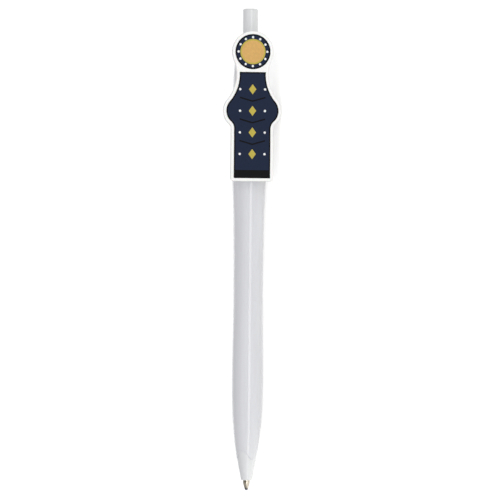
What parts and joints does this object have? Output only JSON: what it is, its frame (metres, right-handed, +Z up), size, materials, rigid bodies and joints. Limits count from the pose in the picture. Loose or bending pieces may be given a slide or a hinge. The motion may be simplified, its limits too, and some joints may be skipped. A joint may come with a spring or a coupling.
{
  "type": "click ballpoint pen",
  "caption": "Click ballpoint pen with a waisted barrel, wavy nose seam, brass tip, push button and a wide printed peg-shaped plate on its clip, lying on its side",
  "frame": {"origin": "Middle of the footprint of the lying pen, on the surface that it lies on", "axes": "+X runs along the pen from the tip to the button, +Z is up, and the plate leans to -Y"},
  "size_m": [0.1444, 0.0176, 0.017],
  "materials": {
    "barrel_plastic": "glossy moulded",
    "nose_plastic": "glossy moulded",
    "cap_plastic": "glossy moulded",
    "tape_acrylic": "double-sided acrylic tape",
    "plate_plastic": "die-cut sheet, satin edge",
    "ink_navy": "raised glossy ink",
    "ink_tan": "raised glossy ink",
    "ink_gold": "raised glossy ink",
    "ink_black": "raised glossy ink",
    "button_plastic": "glossy moulded",
    "rotor_plastic": "plain moulded",
    "sleeve_plastic": "plain moulded",
    "spring_steel": "drawn wire",
    "tube_plastic": "clear-white extruded",
    "writing_ink": "wet ink",
    "follower_grease": "clear grease",
    "tip_brass": "bright turned",
    "ball_carbide": "ground"
  },
  "bodies": {
    "pen_body": {"barrel": "barrel_plastic", "nose_cone": "nose_plastic", "clip_cap": "cap_plastic", "adhesive_tape": "tape_acrylic", "clip_plate": "plate_plastic", "print_navy": "ink_navy", "print_tan": "ink_tan", "print_gold": "ink_gold", "print_black": "ink_black", "guide_sleeve": "sleeve_plastic", "return_spring": "spring_steel"},
    "button": {"push_button": "button_plastic"},
    "rotor": {"cam_rotor": "rotor_plastic"},
    "refill": {"refill_tube": "tube_plastic", "ink_column": "writing_ink", "grease_follower": "follower_grease", "tip_cone": "tip_brass"},
    "ball": {"writing_ball": "ball_carbide"}
  },
  "joints": [
    {"name": "button_slide", "type": "slide", "parent": "pen_body", "child": "button", "axis": [1, 0, 0.0097], "range_m": [-0.0014, 0.0048], "stiffness_N_per_m": 150},
    {"name": "refill_slide", "type": "slide", "parent": "pen_body", "child": "refill", "axis": [1, 0, 0.0097], "range_m": [-0.0014, 0.0048], "deforming": ["return_spring"]},
    {"name": "rotor_turn", "type": "hinge", "parent": "button", "child": "rotor", "pos_m": [0.04, 0.00347, 0.00545], "axis": [1, 0, 0.0097], "continuous": true},
    {"name": "ball_roll", "type": "hinge", "parent": "refill", "child": "ball", "pos_m": [-0.07185, 0.00347, 0.00436], "axis": [0, 1, 0], "continuous": true}
  ],
  "couplings": [
    {"joint": "refill_slide", "follows": "button_slide", "ratio": 1}
  ]
}
